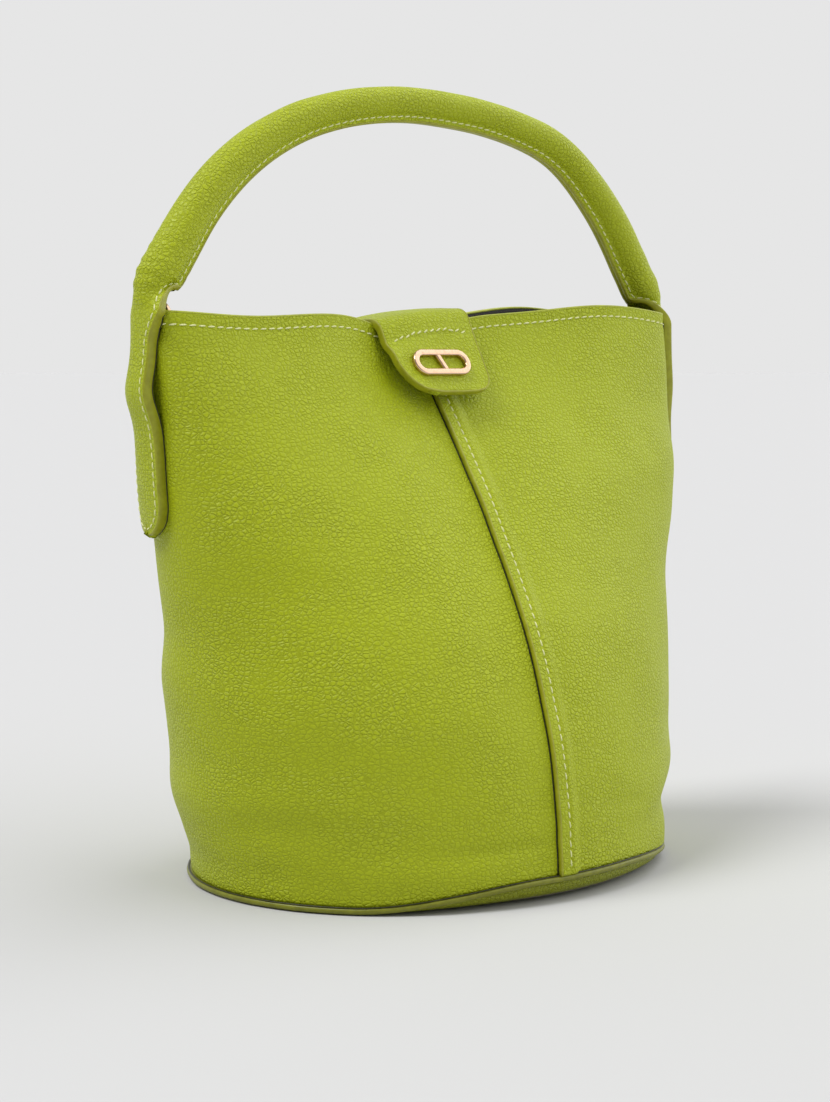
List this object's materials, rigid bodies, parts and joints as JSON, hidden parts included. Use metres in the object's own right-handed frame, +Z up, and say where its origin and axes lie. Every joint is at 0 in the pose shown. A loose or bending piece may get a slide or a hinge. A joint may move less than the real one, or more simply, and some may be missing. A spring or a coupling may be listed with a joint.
{
  "type": "soft leather bucket bag",
  "caption": "Soft oval-based bucket bag in grained leather with a rolled top handle and a strap that snaps over its pinched mouth.",
  "frame": {"origin": "on the ground, under the centre of the bounding box", "axes": "+Z up, +X to the bag's right as seen from the front, -Y towards the front, where the strap closes"},
  "size_m": [0.2936, 0.191, 0.338],
  "materials": {
    "body_leather": "soft pebbled lime-green leather",
    "painted_edge": "smooth olive-yellow edge paint",
    "base_leather": "pebbled lime-green leather, lightly rubbed",
    "lining": "dark woven lining cloth",
    "board": "grey stiffening board",
    "core": "twisted cord filler",
    "pale_gold": "polished pale gold plating"
  },
  "bodies": {
    "bag": {"left_body_panel": "body_leather", "right_body_panel": "body_leather", "base_panel": "base_leather", "base_welt": "painted_edge", "base_board": "board", "lining_wall": "lining", "lining_floor": "lining", "mouth_facing": "body_leather", "left_handle_end": "body_leather", "right_handle_end": "body_leather", "left_end_backing": "painted_edge", "right_end_backing": "painted_edge", "left_ring_loop": "body_leather", "right_ring_loop": "body_leather", "strap_root": "body_leather", "snap_socket": "pale_gold", "socket_washer": "pale_gold", "washer_patch": "body_leather"},
    "handle": {"handle_wrap": "body_leather", "handle_core": "core"},
    "closure_strap": {"strap_outer": "body_leather", "strap_lining": "body_leather", "snap_stud": "pale_gold", "stud_washer": "pale_gold", "badge": "pale_gold", "left_badge_washer": "pale_gold", "right_badge_washer": "pale_gold"},
    "left_ring": {"left_d_ring": "pale_gold"},
    "right_ring": {"right_d_ring": "pale_gold"}
  },
  "joints": [
    {"name": "handle_swing", "type": "hinge", "parent": "bag", "child": "handle", "pos_m": [0, 0.009, 0.246], "axis": [1, 0, 0], "range_deg": [-55, 55], "stiffness_Nm_per_rad": 0.15},
    {"name": "closure_open", "type": "hinge", "parent": "bag", "child": "closure_strap", "pos_m": [-0.003, 0.0223, 0.2409], "axis": [-1, 0, 0], "range_deg": [0, 160]},
    {"name": "left_ring_swing", "type": "hinge", "parent": "bag", "child": "left_ring", "pos_m": [-0.13229, 0.009, 0.229], "axis": [0, 1, 0], "range_deg": [0, 140]},
    {"name": "right_ring_swing", "type": "hinge", "parent": "bag", "child": "right_ring", "pos_m": [0.13229, 0.009, 0.229], "axis": [0, -1, 0], "range_deg": [0, 140]}
  ]
}
